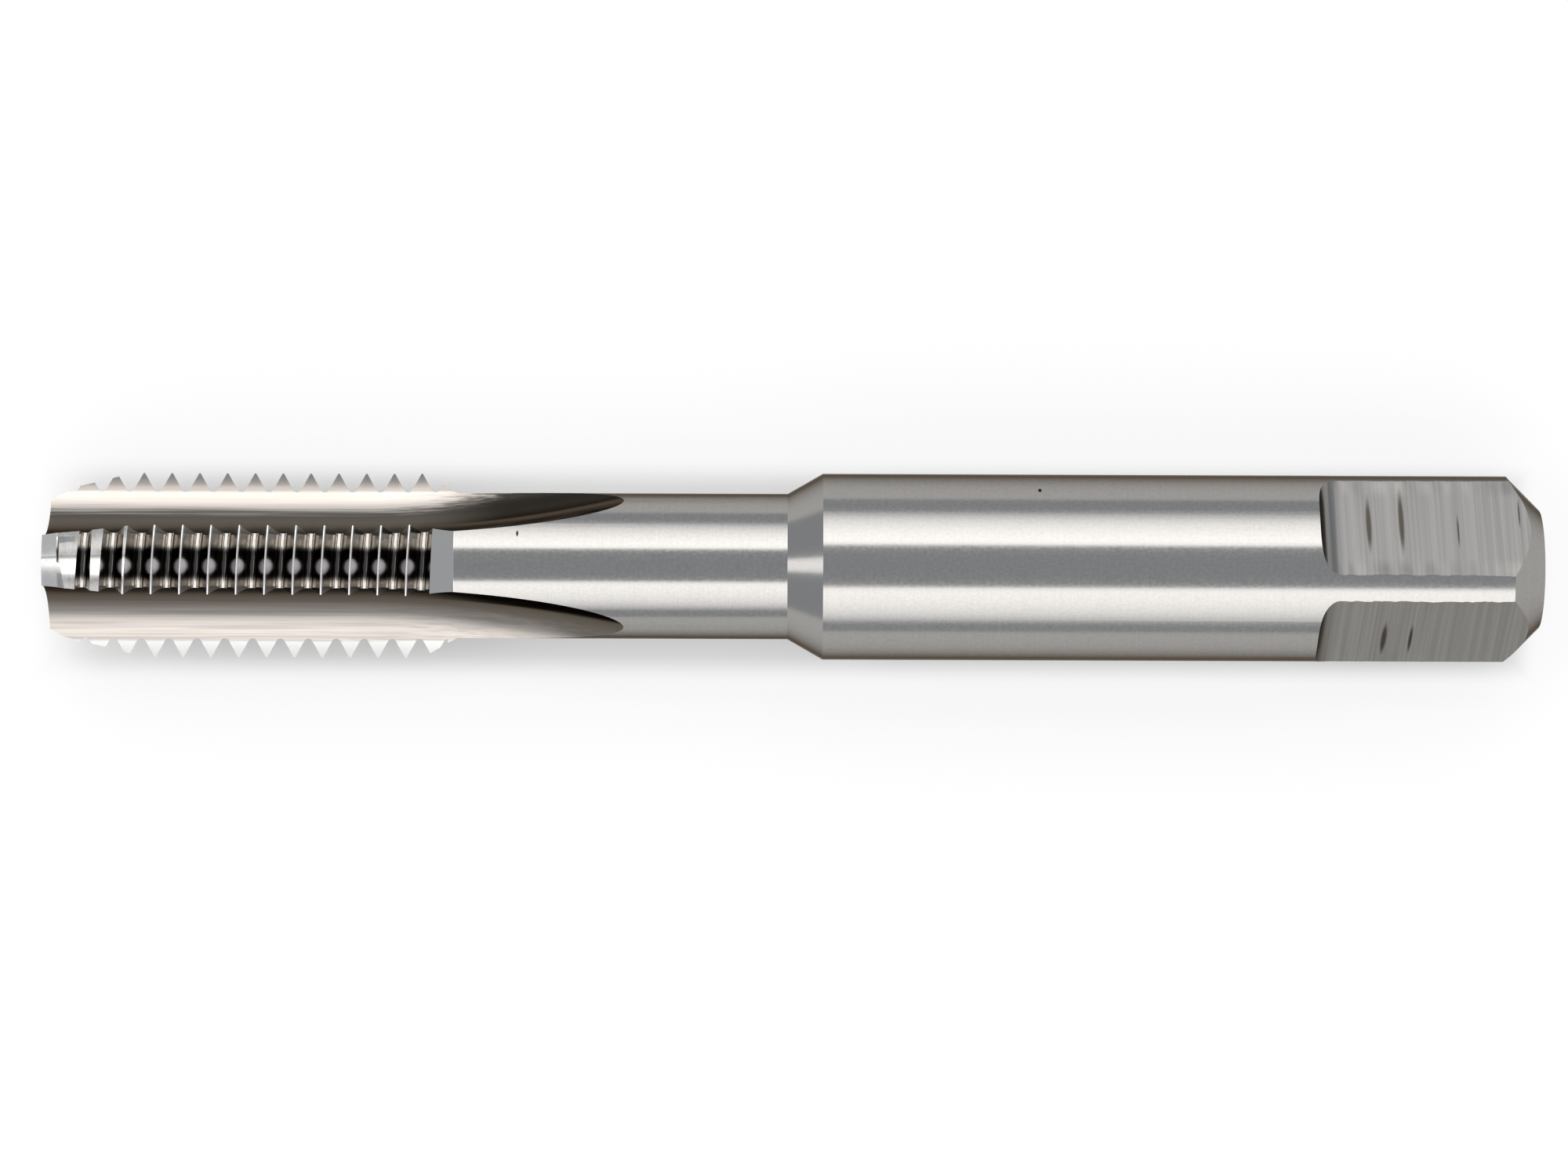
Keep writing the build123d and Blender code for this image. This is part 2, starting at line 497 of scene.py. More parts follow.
def thread_rod(blank, thread, material):
    """Rod with the whole left-hand thread on it, cut square at both ends."""
    pitch = thread.pitch / MM
    offsets = thread_profile(thread)
    length = blank.length / MM
    past_tip = 1.2
    into_bar = 2.6
    front = length + past_tip
    back = (blank.length - thread.length) / MM - into_bar
    # The turns reach past both ends of the rod, where they are cut square
    first = -int(past_tip / pitch) - 2
    last = int((thread.length / MM + into_bar) / pitch) + 2
    steps = blank.steps
    bm = bmesh.new()
    columns = []
    for k in range(steps):
        column = []
        for turn in range(first, last):
            middle = thread.first_crest / MM + pitch * (turn + k / steps)
            for offset, radius in offsets:
                s = length - middle - offset
                column.append(bm.verts.new(at(s, radius, TURN * k / steps)))
        columns.append(column)
    for k in range(steps):
        a = columns[k]
        b = columns[(k + 1) % steps]
        shift = len(offsets) if k == steps - 1 else 0
        for i in range(len(a) - 1):
            if i + 1 + shift < len(b):
                bm.faces.new((a[i], b[i + shift], b[i + 1 + shift], a[i + 1]))
    near_cut = 1e-4
    for s, outward in ((front, -1), (back, 1)):
        plane = Vector((-s, 0, 0))
        bmesh.ops.bisect_plane(
            bm,
            geom=bm.verts[:] + bm.edges[:] + bm.faces[:],
            dist=SAME_PLACE,
            plane_co=plane,
            plane_no=(outward, 0, 0),
            clear_outer=True,
        )
        rim = [e for e in bm.edges if e.is_boundary and all(abs(v.co.x + s) < near_cut for v in e.verts)]
        middle = bm.verts.new(plane)
        for edge in rim:
            bm.faces.new((edge.verts[0], edge.verts[1], middle))
    return cutter_object("rod", bm, material)


def neck_cutter(blank, thread, material):
    """Turned away between the shank and the thread."""
    slope = math.tan(blank.cone_angle)
    radius = blank.shank_diameter / MM / 2
    reach = radius + CLEAR
    neck = blank.neck_diameter / MM / 2
    (shank_end, neck_start), (neck_end, _) = neck_cones(blank, thread)
    profile = [
        (neck_start, neck),
        (shank_end - (reach - radius) / slope, reach),
        (neck_end + (reach - neck) / slope, reach),
        (neck_end, neck),
    ]
    return turned("neck_cut", profile, blank.steps, material, ring=True)


def tip_cutter(blank, thread, material):
    """Faces off the tip and bevels its rim."""
    length = blank.length / MM
    reach = thread.diameter / MM / 2 + CLEAR
    radius = thread.tip_diameter / MM / 2
    bevel = (reach - radius) / math.tan(thread.tip_angle)
    front = length + 2 * CLEAR
    profile = [(length, 0), (length, radius), (length - bevel, reach), (front, reach), (front, 0)]
    return turned("tip_cut", profile, blank.steps, material)


def chamfer_cutters(blank, thread, flutes, material):
    """Lead chamfer of each land, about a line that stands off towards its cutting edge."""
    length = blank.length / MM
    crest = thread.diameter / MM / 2
    reach = crest + CLEAR
    chamfer = thread.chamfer_length / MM
    slope = math.tan(thread.chamfer_angle)
    profile = [
        (length - chamfer - (reach - crest) / slope, reach),
        (length + CLEAR, crest - (chamfer + CLEAR) * slope),
        (length + CLEAR, reach),
    ]
    past_land = math.radians(10.5)
    half = flutes.land_angle / 2 + past_land
    steps = 32
    parts = []
    for land in range(flutes.count):
        middle = TURN * land / flutes.count
        centre = at(0, thread.chamfer_relief / MM, middle - math.pi / 2)
        sector = (middle - half, middle + half)
        parts.append(turned("chamfer", profile, steps, material, ring=True, sector=sector, centre=centre))
    return joined("chamfers", parts)


def arc_points(start, end, tangent_sign, steps):
    """Points of the arc that leaves start at right angles to the radius and passes through end."""
    du = end[0] - start[0]
    dv = end[1] - start[1]
    radius = (du * du + dv * dv) / (2 * du)
    sweep = math.atan2(abs(dv), radius - du)
    return [
        (
            start[0] + radius * (1 - math.cos(sweep * k / steps)),
            start[1] + tangent_sign * radius * math.sin(sweep * k / steps),
        )
        for k in range(steps + 1)
    ], sweep


def flute_cutters(blank, thread, flutes, material):
    """Cutter of each flute: a hook to the cutting edge, a heel to the next land, the wheel's run-out."""
    section_steps = 20
    wheel_steps = 28
    past_tip = 1.5
    crest = thread.diameter / MM / 2
    reach = crest + CLEAR
    web = flutes.web_diameter / MM / 2
    corner = (TURN / flutes.count - flutes.land_angle) / 2
    corner_u = crest * math.cos(corner)
    corner_v = crest * math.sin(corner)
    hook_angle = corner - flutes.rake_angle
    hook_radius = (corner_u - web) / (1 - math.sin(hook_angle))
    bottom_v = corner_v - hook_radius * math.cos(hook_angle)
    hook, hook_sweep = arc_points((web, bottom_v), (corner_u, corner_v), 1, section_steps)
    heel, heel_sweep = arc_points((web, bottom_v), (corner_u, -corner_v), -1, section_steps)
    rise = reach - corner_u
    hook_end = (reach, corner_v + rise / math.tan(hook_sweep))
    heel_end = (reach, -corner_v - rise / math.tan(heel_sweep))
    section = [hook_end] + hook[::-1] + heel[1:] + [heel_end]
    length = blank.length / MM
    run_out = length - flutes.full_length / MM
    wheel = flutes.wheel_radius / MM
    wheel_u = web + wheel
    arc = math.acos(1 - (reach - web) / wheel)
    parts = []
    for flute in range(flutes.count):
        turn = TURN * (flute + 0.5) / flutes.count
        outward = at(0, 1, turn)
        sideways = at(0, 1, turn + math.pi / 2)
        front = Vector((-length - past_tip, 0, 0))
        stations = [[front + outward * u + sideways * v for u, v in section]]
        for k in range(wheel_steps + 1):
            angle = arc * k / wheel_steps
            stations.append(
                [
                    Vector((-run_out + (wheel_u - u) * math.sin(angle), 0, 0))
                    + outward * (wheel_u - (wheel_u - u) * math.cos(angle))
                    + sideways * v
                    for u, v in section
                ]
            )
        parts.append(stacked("flute", stations, material))
    return joined("flutes", parts)


def between(heights, place):
    """Height at a place along a row of heights, eased from one to the next."""
    i = math.floor(place)
    share = place - i
    share = share * share * (3 - 2 * share)
    return heights[i % len(heights)] * (1 - share) + heights[(i + 1) % len(heights)] * share


def ridge_line(seed):
    """Seeded row of heights between -1 and 1, as a grinding wheel leaves them: fine ones on broad ones."""
    fine_count = 148
    broad_count = 31
    broader = 6
    source = random.Random(seed)
    fine = [source.uniform(-1, 1) for _ in range(fine_count)]
    broad = [source.uniform(-1, 1) for _ in range(broad_count)]

    def height(place):
        return 0.6 * between(fine, place) + 0.4 * between(broad, place / broader)

    return height


def clamp(value):
    """The value, kept between 0 and 1."""
    return min(1.0, max(0.0, value))


def flat_cutters(blank, square, material):
    """Cutter of each flat, with the ridges of its wheel and the fillet towards the shank."""
    depth = square.width / MM / 2
    length = square.length / MM
    fillet = square.fillet / MM
    ridge = square.ridge_height / MM
    ragged = square.edge_height / MM
    half_width = 3.45
    past_steel = 0.6
    top = blank.shank_diameter / MM / 2 + past_steel

    # Rows of the cutter's face, along the tap and round the fillet
    spacing = 0.12
    ragged_spacing = 0.34
    shortest_row = 0.02
    fillet_steps = 14
    places = [-past_steel + spacing * k for k in range(int((length + past_steel) / spacing) + 1)]
    row = [(s, depth) for s in places if s < length - shortest_row]
    for k in range(fillet_steps + 1):
        angle = math.pi / 2 * k / fillet_steps
        row.append((length + fillet * math.sin(angle), depth + fillet * (1 - math.cos(angle))))

    # Across the flat, the ragged ridges begin near its long edges
    cells = 18
    across = [half_width * (2 * k / cells - 1) for k in range(cells + 1)]
    ragged_start = 2.3
    ragged_blend = 0.6
    fade_length = 0.5 * fillet

    # Where each kind of ridge begins in its flat's row of heights
    ridge_offset = 40
    ragged_offset = 90
    first_seed = 11

    sides = 4
    parts = []
    for side in range(sides):
        turn = square.turn + TURN * side / sides
        outward = at(0, 1, turn)
        sideways = at(0, 1, turn + math.pi / 2)
        height = ridge_line(first_seed + side)
        lean = square.ridge_slant * (-1 if side < sides / 2 else 1)
        bm = bmesh.new()
        grid = []
        for s, level in row:
            line = []
            for t in across:
                place = s + lean * t
                fade = clamp((length + fade_length - s) / fade_length)
                edge = clamp((abs(t) - ragged_start) / ragged_blend)
                low_ridge = ridge * height(place / spacing + ridge_offset)
                high_ridge = ragged * edge * height(place / ragged_spacing + ragged_offset)
                rise = low_ridge + high_ridge
                line.append(bm.verts.new(Vector((-s, 0, 0)) + outward * (level + fade * rise) + sideways * t))
            grid.append(line)
        for a, b in zip(grid, grid[1:]):
            for k in range(cells):
                bm.faces.new((a[k], a[k + 1], b[k + 1], b[k]))
        rim = (
            grid[0]
            + [line[-1] for line in grid[1:-1]]
            + grid[-1][::-1]
            + [line[0] for line in grid[-2:0:-1]]
        )
        lid = [bm.verts.new(v.co + outward * (top - v.co.dot(outward))) for v in rim]
        for k in range(len(rim)):
            j = (k + 1) % len(rim)
            bm.faces.new((rim[k], rim[j], lid[j], lid[k]))
        bm.faces.new(lid)
        parts.append(cutter_object("flat", bm, material))
    return joined("flats", parts)


def centre_cutters(blank, square, material):
    """Centre hole in each end: a countersink, and a pilot with its drill's point."""
    mouth = square.centre_mouth / MM / 2
    pilot = square.centre_pilot / MM / 2
    depth = square.centre_depth / MM
    slope = math.tan(square.centre_angle / 2)
    point = pilot / math.tan(square.point_angle / 2)
    profile = [
        (-CLEAR, 0),
        (-CLEAR, mouth + CLEAR * slope),
        ((mouth - pilot) / slope, pilot),
        (depth, pilot),
        (depth + point, 0),
    ]
    steps = 60
    length = blank.length / MM
    far = [(length - s, radius) for s, radius in profile]
    return joined("centres", [turned("centre", end, steps, material) for end in (profile, far)])


def cut(piece, tool, operation):
    """Cut the piece with a tool, or unite the two. The tool's faces keep their own finish."""
    change = piece.modifiers.new("cut", "BOOLEAN")
    change.operation = operation
    change.solver = "EXACT"
    change.material_mode = "TRANSFER"
    change.object = tool
    bpy.context.view_layer.update()
    depsgraph = bpy.context.evaluated_depsgraph_get()
    mesh = bpy.data.meshes.new_from_object(piece.evaluated_get(depsgraph))
    piece.modifiers.clear()
    uncut = piece.data
    piece.data = mesh
    bpy.data.meshes.remove(uncut)
    discard(tool)


def weld(mesh):
    """Merge the corners that the cuts left side by side, so that the tap is a closed solid."""
    bm = bmesh.new()
    bm.from_mesh(mesh)
    bmesh.ops.remove_doubles(bm, verts=bm.verts, dist=WELD_GAP)
    bmesh.ops.dissolve_degenerate(bm, dist=WELD_GAP, edges=bm.edges)
    closed = all(len(edge.link_faces) == 2 for edge in bm.edges)
    bm.to_mesh(mesh)
    bm.free()
    if not closed:
        raise RuntimeError("The tap isn't a closed solid after its cuts.")


class MaterialNodes:
    """Node tree of one material"""

    def __init__(self, name):
        self.material = bpy.data.materials.new(name)
        self.material.use_nodes = True
        self.nodes = self.material.node_tree.nodes
        self.links = self.material.node_tree.links
        self.shader = self.nodes["Principled BSDF"]
        self.place = self.add("ShaderNodeTexCoord", {}).outputs["Object"]

    def add(self, kind, inputs, **settings):
        """New node with its settings. Each input is a value or another node's output."""
        node = self.nodes.new(kind)
        for key, value in settings.items():
            setattr(node, key, value)
        for key, value in inputs.items():
            if isinstance(value, bpy.types.NodeSocket):
                self.links.new(value, node.inputs[key])
            else:
                node.inputs[key].default_value = value
        return node

    def calc(self, operation, a, b=0.0):
        """Result of one operation on one or two numbers."""
        return self.add("ShaderNodeMath", {0: a, 1: b}, operation=operation).outputs[0]

    def product(self, first, *others):
        """Numbers or masks multiplied together."""
        for other in others:
            first = self.calc("MULTIPLY", first, other)
        return first

    def ramp(self, value, low, high, to_low=0.0, to_high=1.0):
        """Smooth step from to_low at low to to_high at high."""
        inputs = {"Value": value, "From Min": low, "From Max": high, "To Min": to_low, "To Max": to_high}
        return self.add("ShaderNodeMapRange", inputs, interpolation_type="SMOOTHSTEP").outputs[0]


class SteelNodes(MaterialNodes):
    """Node tree of one steel finish, laid out in millimetres from the square's end"""

    def __init__(self, name, edge_color):
        super().__init__(name)
        self.shader.inputs["Metallic"].default_value = 1.0
        # The dark edge-on tint paints shade along the outline
        self.shader.inputs["Specular Tint"].default_value = (*edge_color, 1)
        inputs = {0: self.place, "Scale": 1 / MM}
        self.place = self.add("ShaderNodeVectorMath", inputs, operation="SCALE").outputs[0]
        self.x, self.y, self.z = self.add("ShaderNodeSeparateXYZ", {0: self.place}).outputs

    def radius(self):
        """Distance from the axis."""
        section = self.add("ShaderNodeCombineXYZ", {1: self.y, 2: self.z}).outputs[0]
        return self.add("ShaderNodeVectorMath", {0: section}, operation="LENGTH").outputs["Value"]

    def turn_from(self, middle, count):
        """Degrees round the axis from the nearest of so many equal places, one of them at middle."""
        turn = self.calc("DEGREES", self.calc("ARCTAN2", self.y, self.z))
        half = 180 / count
        inputs = {0: self.calc("SUBTRACT", turn, middle), 1: half, 2: -half}
        return self.add("ShaderNodeMath", inputs, operation="WRAP").outputs[0]

    def band(self, value, middle, inner, outer, strength=1.0):
        """Mask that is full up to inner from the middle of a band and gone at outer."""
        aside = self.calc("ABSOLUTE", self.calc("SUBTRACT", value, middle))
        return self.ramp(aside, inner, outer, strength, 0.0)

    def grain(self, stretch, detail=2.0, place=None):
        """Noise with so many grains per millimetre along each direction."""
        inputs = {0: place or self.place, 1: stretch}
        spread = self.add("ShaderNodeVectorMath", inputs, operation="MULTIPLY").outputs[0]
        inputs = {"Vector": spread, "Scale": 1.0, "Detail": detail, "Roughness": 0.6}
        return self.add("ShaderNodeTexNoise", inputs).outputs[0]

    def mix(self, first, second, share):
        """Two noises in one, with this share of the second."""
        return self.calc("ADD", self.product(first, 1 - share), self.product(second, share))

    def swing(self, noise, spread, low, high):
        """Value that follows a noise from low to high, over this spread about its middle."""
        return self.ramp(noise, 0.5 - spread, 0.5 + spread, low, high)

    def marks(self, places, place=None):
        """Mask of small pits or scratches, each given by its middle and its half sizes."""
        mask = None
        for middle, half in places:
            inputs = {0: place or self.place, 1: middle}
            offset = self.add("ShaderNodeVectorMath", inputs, operation="SUBTRACT").outputs[0]
            scaled = self.add("ShaderNodeVectorMath", {0: offset, 1: half}, operation="DIVIDE").outputs[0]
            away = self.add("ShaderNodeVectorMath", {0: scaled}, operation="LENGTH").outputs["Value"]
            spot = self.ramp(away, 0.4, 1.0, 1.0, 0.0)
            mask = spot if mask is None else self.calc("MAXIMUM", mask, spot)
        return mask

    def blend(self, factor, first, second):
        """Colour between two colours."""
        inputs = {0: factor}
        for index, color in ((6, first), (7, second)):
            inputs[index] = color if isinstance(color, bpy.types.NodeSocket) else (*color, 1)
        return self.add("ShaderNodeMix", inputs, data_type="RGBA").outputs[2]

    def mottled(self, noise, spread, color, darker, lighter):
        """Colour that follows a noise between a darker and a lighter shade."""
        return self.blend(self.swing(noise, spread, 0, 1), shade(color, darker), shade(color, lighter))

    def dress(self, color, roughness, height, depth):
        """Join the results to the shader and give back the material. The depth is in metres."""
        self.links.new(color, self.shader.inputs["Base Color"])
        self.links.new(roughness, self.shader.inputs["Roughness"])
        bump = self.add("ShaderNodeBump", {"Height": height, "Strength": 1.0, "Distance": depth})
        self.links.new(bump.outputs[0], self.shader.inputs["Normal"])
        return self.material


def shade(color, factor):
    """Lighter or darker shade of a colour."""
    return tuple(min(1.0, channel * factor) for channel in color)


def steel_round(finish, blank, thread):
    """Ground round surfaces: fine lines round the axis, under a faint mottle, with a few small pits."""
    steel = SteelNodes("ground round", finish.edge_color)
    lines = steel.grain((16, 0.4, 0.4))
    mottle = steel.grain((5, 7, 7), 4)
    mixed = steel.mix(lines, mottle, 0.75)
    color = steel.mottled(mixed, 0.2, finish.shank_color, 0.94, 1.06)

    # The cones are plainer than the rest, and the one behind the thread is brighter as a painted highlight
    soft_edge = 0.04
    shank_cone, thread_cone = neck_cones(blank, thread)
    for (start, end), painted_brightness in ((thread_cone, 1.55), (shank_cone, 1.0)):
        half = (end - start) / 2
        cone = steel.band(steel.x, -(start + end) / 2, half, half + soft_edge)
        color = steel.blend(cone, color, shade(finish.shank_color, painted_brightness))

    pits = [
        ((-26.9, 3.95, 3.06), (0.13, 0.15, 0.4)),
        ((-54.7, 1.52, 3.6), (0.09, 0.22, 0.3)),
        ((-31.4, -3.1, -3.9), (0.12, 0.14, 0.3)),
    ]
    color = steel.blend(steel.marks(pits), color, finish.pit_color)
    roughness = steel.swing(mottle, 0.2, 0.15, 0.19)
    return steel.dress(color, roughness, mixed, 0.0000007)


def steel_flat(finish, square):
    """Ground flats: slanting marks across them, light and dark, and a few deep scratches."""
    steel = SteelNodes("ground flat", finish.edge_color)
    inputs = {"Vector": steel.place, "Angle": square.turn}
    squared = steel.add("ShaderNodeVectorRotate", inputs, rotation_type="X_AXIS").outputs[0]
    x, y, z = steel.add("ShaderNodeSeparateXYZ", {0: squared}).outputs
    lean = steel.product(steel.calc("SUBTRACT", z, y), square.ridge_slant)
    place = steel.add("ShaderNodeCombineXYZ", {0: steel.calc("SUBTRACT", lean, x), 1: y, 2: z}).outputs[0]
    fine = steel.grain((8, 0.05, 0.05), 2, place)
    broad = steel.grain((2.2, 0.04, 0.04), 1, place)
    mixed = steel.mix(fine, broad, 0.5)
    color = steel.mottled(mixed, 0.14, finish.flat_color, 0.89, 1.11)

    # Four scratches on the flat that shows most, two on the one that shows less, and one on each other
    flat = square.width / MM / 2
    scratches = [
        ((9.44, 0.2, flat), (0.19, 2.1, 0.8)),
        ((7.70, 0.4, flat), (0.2, 2.4, 0.8)),
        ((4.7, -0.2, flat), (0.07, 1.3, 0.8)),
        ((1.4, 0.9, flat), (0.06, 1.1, 0.8)),
        ((8.45, -flat, -0.7), (0.2, 0.8, 1.9)),
        ((7.02, -flat, -0.7), (0.13, 0.8, 1.7)),
        ((6.1, flat, 0.4), (0.12, 0.8, 1.9)),
        ((8.3, -0.3, -flat), (0.12, 2.0, 0.8)),
    ]
    deep = steel.product(steel.marks(scratches, place), 0.85)
    color = steel.blend(deep, color, finish.scratch_color)
    roughness = steel.swing(broad, 0.15, 0.2, 0.3)
    return steel.dress(color, roughness, mixed, 0.0000015)


def steel_flute(finish, blank, thread, flutes):
    """Ground flutes: streaks along them, a painted highlight along the hook and painted shade along the
    bottom.
    """
    # The flutes get an even darker edge-on tint, painted shade on walls seen edge-on
    steel = SteelNodes("ground flute", shade(finish.edge_color, 0.42))
    root = root_radius(thread)
    thread_end = (thread.length - blank.length) / MM
    radius = steel.radius()
    turn = steel.turn_from(180 / flutes.count, flutes.count)
    fine = steel.grain((0.12, 9, 9), 3)
    broad = steel.grain((0.07, 2.2, 2.2), 2)
    mixed = steel.mix(fine, broad, 0.45)
    color = steel.mottled(mixed, 0.14, finish.flute_color, 0.78, 1.12)

    # Painted highlight along the hook of each flute, painted shade along its bottom, with a ragged border
    ragged = steel.calc("ADD", turn, steel.swing(fine, 0.2, -3, 3))
    color = steel.blend(steel.ramp(turn, 28, 36), color, shade(finish.flute_color, 1.22))
    bottom = steel.product(steel.ramp(ragged, -34, -6), steel.ramp(ragged, 27, 36, 1.0, 0.0))
    color = steel.blend(bottom, color, finish.flute_shade_color)

    # Painted highlight on the teeth at the heel of each land, and painted shade on the cutting face
    teeth = steel.ramp(radius, root - 0.08, root + 0.17)
    behind = steel.ramp(turn, -20, 0, 1.0, 0.0)
    heel = steel.product(teeth, behind, steel.ramp(steel.x, thread_end + 1.2, thread_end + 1.5, 1.0, 0.0))
    color = steel.blend(heel, color, finish.heel_highlight_color)
    face = steel.product(steel.ramp(radius, root - 0.16, root + 0.04), steel.ramp(turn, 0, 20))
    color = steel.blend(face, color, shade(finish.flute_color, 0.76))

    # Painted shade, darkest on the hook's side where the flute runs out into the neck
    past_thread = steel.ramp(steel.x, thread_end - 1, thread_end + 5)
    hook = steel.product(steel.ramp(turn, 2, 8), steel.ramp(ragged, 30, 40, 1.0, 0.0))
    color = steel.blend(steel.product(past_thread, hook), color, shade(finish.flute_shade_color, 0.28))
    roughness = steel.calc("MAXIMUM", steel.swing(broad, 0.15, 0.27, 0.34), steel.product(heel, 0.55))
    return steel.dress(color, roughness, mixed, 0.000003)


def steel_thread(finish, thread, flutes):
    """Ground thread: painted shade along the middle of each land, painted highlights beside the crests, and
    burnished crests lightened by a painted highlight.
    """
    steel = SteelNodes("ground thread", shade(finish.edge_color, 0.7))
    crest = thread.diameter / MM / 2
    root = root_radius(thread)
    radius = steel.radius()
    turn = steel.turn_from(0, flutes.count)
    grain = steel.grain((9, 2, 2), 3)
    color = steel.mottled(grain, 0.15, finish.thread_color, 0.85, 1.1)

    # Painted shade towards the cutting edge, painted light at both ends of the land, and painted shade in the
    # root
    color = steel.blend(steel.ramp(turn, -5, 5, 0.75, 0.0), color, shade(finish.thread_color, 0.74))
    for near, beyond in ((-15, -18), (15, 18)):
        color = steel.blend(steel.ramp(turn, near, beyond), color, shade(finish.thread_color, 1.12))
    groove = steel.ramp(radius, root + 0.02, root + 0.12, 0.6, 0.0)
    color = steel.blend(groove, color, shade(finish.thread_color, 0.45))

    # Painted shade, nearly black, along the middle, with a painted highlight oval on the flank of each crest
    middle = steel.band(turn, -2.2, 8.5, 13.5)
    color = steel.blend(middle, color, shade(finish.thread_color, 0.15))
    oval_turn = -4.2
    oval_half_turn = 6.6
    oval_top = crest - 0.02
    oval_depth = 0.76
    sideways = steel.calc("DIVIDE", steel.calc("SUBTRACT", turn, oval_turn), oval_half_turn)
    down = steel.calc("DIVIDE", steel.calc("SUBTRACT", oval_top, radius), oval_depth)
    away = steel.calc("ADD", steel.product(sideways, sideways), steel.product(down, down))
    oval_highlight = steel.ramp(away, 0.25, 1.1, 1.0, 0.0)
    color = steel.blend(oval_highlight, color, finish.oval_highlight_color)
    # The crests are burnished, and their lighter colour is also a painted highlight
    color = steel.blend(steel.ramp(radius, crest - 0.1, crest - 0.05), color, finish.crest_color)
    smooth = steel.ramp(radius, crest - 0.1, crest - 0.04, 0.15, 0.28)
    roughness = steel.calc("MAXIMUM", smooth, steel.product(oval_highlight, 0.42))
    return steel.dress(color, roughness, grain, 0.000001)


def steel_lead(finish, blank, flutes):
    """Ground lead chamfer and tip: fine lines round the axis, a painted highlight band and a painted shade
    line.
    """
    steel = SteelNodes("ground lead", finish.edge_color)
    tip = -blank.length / MM
    turn = steel.turn_from(0, flutes.count)
    lines = steel.grain((14, 0.8, 0.8), 2)
    mottle = steel.grain((3, 3, 3), 3)
    mixed = steel.mix(lines, mottle, 0.5)
    color = steel.mottled(mixed, 0.15, finish.shank_color, 1.2, 1.4)
    # Painted highlight in a band on each land and near the tip, and a thin painted shade line
    lead_highlight = steel.band(turn, -5.2, 3.5, 6)
    lead_highlight = steel.calc("MAXIMUM", lead_highlight, steel.ramp(steel.x, tip + 0.8, tip + 1.0, 0.9, 0.0))
    color = steel.blend(lead_highlight, color, shade(finish.shank_color, 2.1))
    line = steel.band(turn, 2.2, 0.5, 1.3, 0.5)
    color = steel.blend(line, color, shade(finish.shank_color, 0.4))
    roughness = steel.swing(mottle, 0.15, 0.2, 0.26)
    return steel.dress(color, roughness, mixed, 0.000002)


def steel_centre(finish):
    """Drilled centre holes, with rings from the drill."""
    steel = SteelNodes("drilled centre", finish.edge_color)
    rings = steel.grain((12, 0.5, 0.5), 2)
    color = steel.mottled(rings, 0.15, finish.thread_color, 0.75, 1.1)
    roughness = steel.swing(rings, 0.15, 0.26, 0.36)
    return steel.dress(color, roughness, rings, 0.000003)


class TAP_OT_grind(bpy.types.Operator):
    """Turn, thread, flute and square the tap from its bar"""

    bl_idname = "tap.grind"
    bl_label = "Grind Tap"

    def execute(self, context):
        scene = context.scene
        blank = scene.tap_blank
        thread = scene.tap_thread
        flutes = scene.tap_flutes
        square = scene.tap_square
        finish = scene.tap_finish
        ground_round = steel_round(finish, blank, thread)
        ground_lead = steel_lead(finish, blank, flutes)
        ground_thread = steel_thread(finish, thread, flutes)
        ground_flute = steel_flute(finish, blank, thread, flutes)
        ground_flat = steel_flat(finish, square)
        drilled = steel_centre(finish)
        piece = shape_blank(blank, thread, ground_round)
        cut(piece, thread_rod(blank, thread, ground_thread), "UNION")
        for cutter in (
            neck_cutter(blank, thread, ground_round),
            flute_cutters(blank, thread, flutes, ground_flute),
            chamfer_cutters(blank, thread, flutes, ground_lead),
            tip_cutter(blank, thread, ground_lead),
            flat_cutters(blank, square, ground_flat),
            centre_cutters(blank, square, drilled),
        ):
            cut(piece, cutter, "DIFFERENCE")
        piece.name = "tap_steel"
        mesh = piece.data
        mesh.name = "tap_steel"
        weld(mesh)
        mesh.transform(Matrix.Scale(MM, 4))
        mesh.shade_smooth()
        mesh.set_sharp_from_angle(angle=math.radians(15))
        if len(mesh.polygons) < FEWEST_FACES:
            raise RuntimeError("The tap lost most of its faces while it was cut.")
        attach(piece, "root")
        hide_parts("tap")
        return {"FINISHED"}


def floor_material(color, glow):
    """Matt white that shows near white to the camera and in the steel, but not under the tap, where it leaves
    a painted contact shadow.
    """
    floor = MaterialNodes("floor")
    floor.shader.inputs["Base Color"].default_value = (*color, 1)
    floor.shader.inputs["Roughness"].default_value = 0.9
    floor.shader.inputs["Specular IOR Level"].default_value = 0.0
    rays = floor.add("ShaderNodeLightPath", {}).outputs
    seen = floor.calc("MAXIMUM", rays["Is Camera Ray"], rays["Is Glossy Ray"])
    seen = floor.calc("MAXIMUM", seen, rays["Is Transmission Ray"])

    # The white comes in from just inside the tap's outline to just outside it, so a painted shadow lies along
    # the tap
    inside = 0.5 * MM
    outside = 1.2 * MM
    x, y, _ = floor.add("ShaderNodeSeparateXYZ", {0: floor.place}).outputs
    half_length = (tap_high.x - tap_low.x) / 2
    past_end = floor.ramp(floor.calc("ABSOLUTE", x), half_length - inside, half_length + outside)
    past_side = floor.ramp(floor.calc("ABSOLUTE", y), tap_high.y - inside, tap_high.y + outside)
    share = floor.product(seen, floor.calc("MAXIMUM", past_end, past_side), glow)
    white = floor.add("ShaderNodeEmission", {}).outputs[0]
    mixed = floor.add("ShaderNodeMixShader", {0: share, 1: floor.shader.outputs[0], 2: white}).outputs[0]
    floor.links.new(mixed, floor.nodes["Material Output"].inputs["Surface"])
    return floor.material


